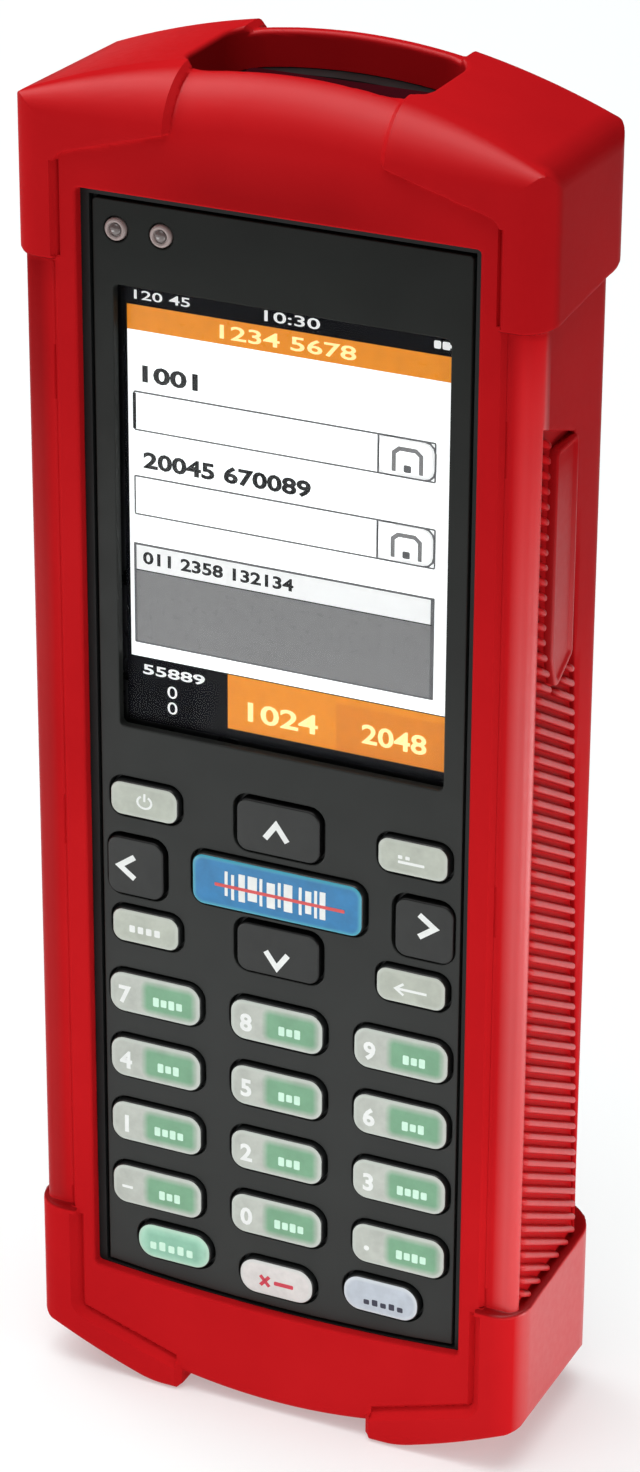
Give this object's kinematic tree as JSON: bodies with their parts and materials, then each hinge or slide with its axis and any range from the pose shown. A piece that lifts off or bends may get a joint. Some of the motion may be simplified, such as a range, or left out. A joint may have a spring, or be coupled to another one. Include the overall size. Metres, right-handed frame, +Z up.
{
  "type": "portable barcode data terminal",
  "caption": "Handheld scanning data terminal in a bumpered elastomer boot, with a display, a pressing keypad, a scan window in its top end and a battery door on its back.",
  "frame": {"origin": "centre of the footprint, on the plane of the feet", "axes": "+Z up along the terminal towards its scan window, -Y out of the keypad and display, +X to the right of someone who reads the display"},
  "size_m": [0.0708, 0.029, 0.1842],
  "materials": {
    "boot_elastomer": "satin moulded elastomer",
    "housing_plastic": "fine texture",
    "panel_plastic": "satin",
    "seal_rubber": "matt",
    "window_glass": "polished",
    "lcd_black": "satin",
    "flex_amber": "polyimide film",
    "lamp_lens": "moulded clear lens",
    "lamp_chip": "matt",
    "mat_silicone": "matt silicone",
    "dome_steel": "bright",
    "board_green": "solder mask",
    "scanner_black": "matt",
    "lens_glass": "polished",
    "bracket_steel": "formed sheet",
    "scan_window_dark": "polished dark acrylic",
    "connector_steel": "bright",
    "cell_jacket": "plain printed jacket",
    "contact_nickel": "nickel plate",
    "screw_steel": "zinc plate",
    "key_number": "translucent silver-green, satin",
    "key_grey": "satin",
    "key_dark": "satin",
    "key_blue": "satin",
    "key_mint": "satin",
    "key_white": "satin",
    "key_pale": "satin"
  },
  "bodies": {
    "terminal": {"boot": "boot_elastomer", "front_housing": "housing_plastic", "rear_housing": "housing_plastic", "housing_gasket": "seal_rubber", "front_bezel": "panel_plastic", "display_window": "window_glass", "lcd_module": "lcd_black", "lcd_flex": "flex_amber", "led_lenses": "lamp_lens", "status_leds": "lamp_chip", "keypad_mat": "mat_silicone", "dome_switches": "dome_steel", "keypad_board": "board_green", "main_board": "board_green", "board_flex": "flex_amber", "scan_engine": "scanner_black", "scan_lens": "lens_glass", "scan_bracket": "bracket_steel", "scan_window": "scan_window_dark", "beeper": "scanner_black", "usb_connector": "connector_steel", "battery_left": "cell_jacket", "battery_right": "cell_jacket", "battery_contacts_top": "contact_nickel", "battery_contacts_bottom": "contact_nickel", "housing_screws": "screw_steel", "board_screws": "screw_steel"},
    "battery_door": {"battery_door": "housing_plastic"},
    "key_scan": {"key_scan": "key_blue"},
    "key_up": {"key_up": "key_dark"},
    "key_down": {"key_down": "key_dark"},
    "key_left": {"key_left": "key_dark"},
    "key_right": {"key_right": "key_dark"},
    "key_f1": {"key_f1": "key_grey"},
    "key_f2": {"key_f2": "key_grey"},
    "key_f3": {"key_f3": "key_grey"},
    "key_f4": {"key_f4": "key_grey"},
    "key_7": {"key_7": "key_number"},
    "key_8": {"key_8": "key_number"},
    "key_9": {"key_9": "key_number"},
    "key_4": {"key_4": "key_number"},
    "key_5": {"key_5": "key_number"},
    "key_6": {"key_6": "key_number"},
    "key_1": {"key_1": "key_number"},
    "key_2": {"key_2": "key_number"},
    "key_3": {"key_3": "key_number"},
    "key_minus": {"key_minus": "key_number"},
    "key_0": {"key_0": "key_number"},
    "key_point": {"key_point": "key_number"},
    "key_alpha": {"key_alpha": "key_mint"},
    "key_clear": {"key_clear": "key_white"},
    "key_shift": {"key_shift": "key_pale"}
  },
  "joints": [
    {"name": "battery_door_hinge", "type": "hinge", "parent": "terminal", "child": "battery_door", "pos_m": [0, 0.0097, 0.0199], "axis": [-1, 0, 0], "range_deg": [0, 75]},
    {"name": "key_scan_press", "type": "slide", "parent": "terminal", "child": "key_scan", "axis": [0, 1, 0], "range_m": [0, 0.0006], "stiffness_N_per_m": 800, "springref_m": -0.0005},
    {"name": "key_up_press", "type": "slide", "parent": "terminal", "child": "key_up", "axis": [0, 1, 0], "range_m": [0, 0.0006], "stiffness_N_per_m": 800, "springref_m": -0.0005},
    {"name": "key_down_press", "type": "slide", "parent": "terminal", "child": "key_down", "axis": [0, 1, 0], "range_m": [0, 0.0006], "stiffness_N_per_m": 800, "springref_m": -0.0005},
    {"name": "key_left_press", "type": "slide", "parent": "terminal", "child": "key_left", "axis": [0, 1, 0], "range_m": [0, 0.0006], "stiffness_N_per_m": 800, "springref_m": -0.0005},
    {"name": "key_right_press", "type": "slide", "parent": "terminal", "child": "key_right", "axis": [0, 1, 0], "range_m": [0, 0.0006], "stiffness_N_per_m": 800, "springref_m": -0.0005},
    {"name": "key_f1_press", "type": "slide", "parent": "terminal", "child": "key_f1", "axis": [0, 1, 0], "range_m": [0, 0.0006], "stiffness_N_per_m": 800, "springref_m": -0.0005},
    {"name": "key_f2_press", "type": "slide", "parent": "terminal", "child": "key_f2", "axis": [0, 1, 0], "range_m": [0, 0.0006], "stiffness_N_per_m": 800, "springref_m": -0.0005},
    {"name": "key_f3_press", "type": "slide", "parent": "terminal", "child": "key_f3", "axis": [0, 1, 0], "range_m": [0, 0.0006], "stiffness_N_per_m": 800, "springref_m": -0.0005},
    {"name": "key_f4_press", "type": "slide", "parent": "terminal", "child": "key_f4", "axis": [0, 1, 0], "range_m": [0, 0.0006], "stiffness_N_per_m": 800, "springref_m": -0.0005},
    {"name": "key_7_press", "type": "slide", "parent": "terminal", "child": "key_7", "axis": [0, 1, 0], "range_m": [0, 0.0006], "stiffness_N_per_m": 800, "springref_m": -0.0005},
    {"name": "key_8_press", "type": "slide", "parent": "terminal", "child": "key_8", "axis": [0, 1, 0], "range_m": [0, 0.0006], "stiffness_N_per_m": 800, "springref_m": -0.0005},
    {"name": "key_9_press", "type": "slide", "parent": "terminal", "child": "key_9", "axis": [0, 1, 0], "range_m": [0, 0.0006], "stiffness_N_per_m": 800, "springref_m": -0.0005},
    {"name": "key_4_press", "type": "slide", "parent": "terminal", "child": "key_4", "axis": [0, 1, 0], "range_m": [0, 0.0006], "stiffness_N_per_m": 800, "springref_m": -0.0005},
    {"name": "key_5_press", "type": "slide", "parent": "terminal", "child": "key_5", "axis": [0, 1, 0], "range_m": [0, 0.0006], "stiffness_N_per_m": 800, "springref_m": -0.0005},
    {"name": "key_6_press", "type": "slide", "parent": "terminal", "child": "key_6", "axis": [0, 1, 0], "range_m": [0, 0.0006], "stiffness_N_per_m": 800, "springref_m": -0.0005},
    {"name": "key_1_press", "type": "slide", "parent": "terminal", "child": "key_1", "axis": [0, 1, 0], "range_m": [0, 0.0006], "stiffness_N_per_m": 800, "springref_m": -0.0005},
    {"name": "key_2_press", "type": "slide", "parent": "terminal", "child": "key_2", "axis": [0, 1, 0], "range_m": [0, 0.0006], "stiffness_N_per_m": 800, "springref_m": -0.0005},
    {"name": "key_3_press", "type": "slide", "parent": "terminal", "child": "key_3", "axis": [0, 1, 0], "range_m": [0, 0.0006], "stiffness_N_per_m": 800, "springref_m": -0.0005},
    {"name": "key_minus_press", "type": "slide", "parent": "terminal", "child": "key_minus", "axis": [0, 1, 0], "range_m": [0, 0.0006], "stiffness_N_per_m": 800, "springref_m": -0.0005},
    {"name": "key_0_press", "type": "slide", "parent": "terminal", "child": "key_0", "axis": [0, 1, 0], "range_m": [0, 0.0006], "stiffness_N_per_m": 800, "springref_m": -0.0005},
    {"name": "key_point_press", "type": "slide", "parent": "terminal", "child": "key_point", "axis": [0, 1, 0], "range_m": [0, 0.0006], "stiffness_N_per_m": 800, "springref_m": -0.0005},
    {"name": "key_alpha_press", "type": "slide", "parent": "terminal", "child": "key_alpha", "axis": [0, 1, 0], "range_m": [0, 0.0006], "stiffness_N_per_m": 800, "springref_m": -0.0005},
    {"name": "key_clear_press", "type": "slide", "parent": "terminal", "child": "key_clear", "axis": [0, 1, 0], "range_m": [0, 0.0006], "stiffness_N_per_m": 800, "springref_m": -0.0005},
    {"name": "key_shift_press", "type": "slide", "parent": "terminal", "child": "key_shift", "axis": [0, 1, 0], "range_m": [0, 0.0006], "stiffness_N_per_m": 800, "springref_m": -0.0005}
  ]
}
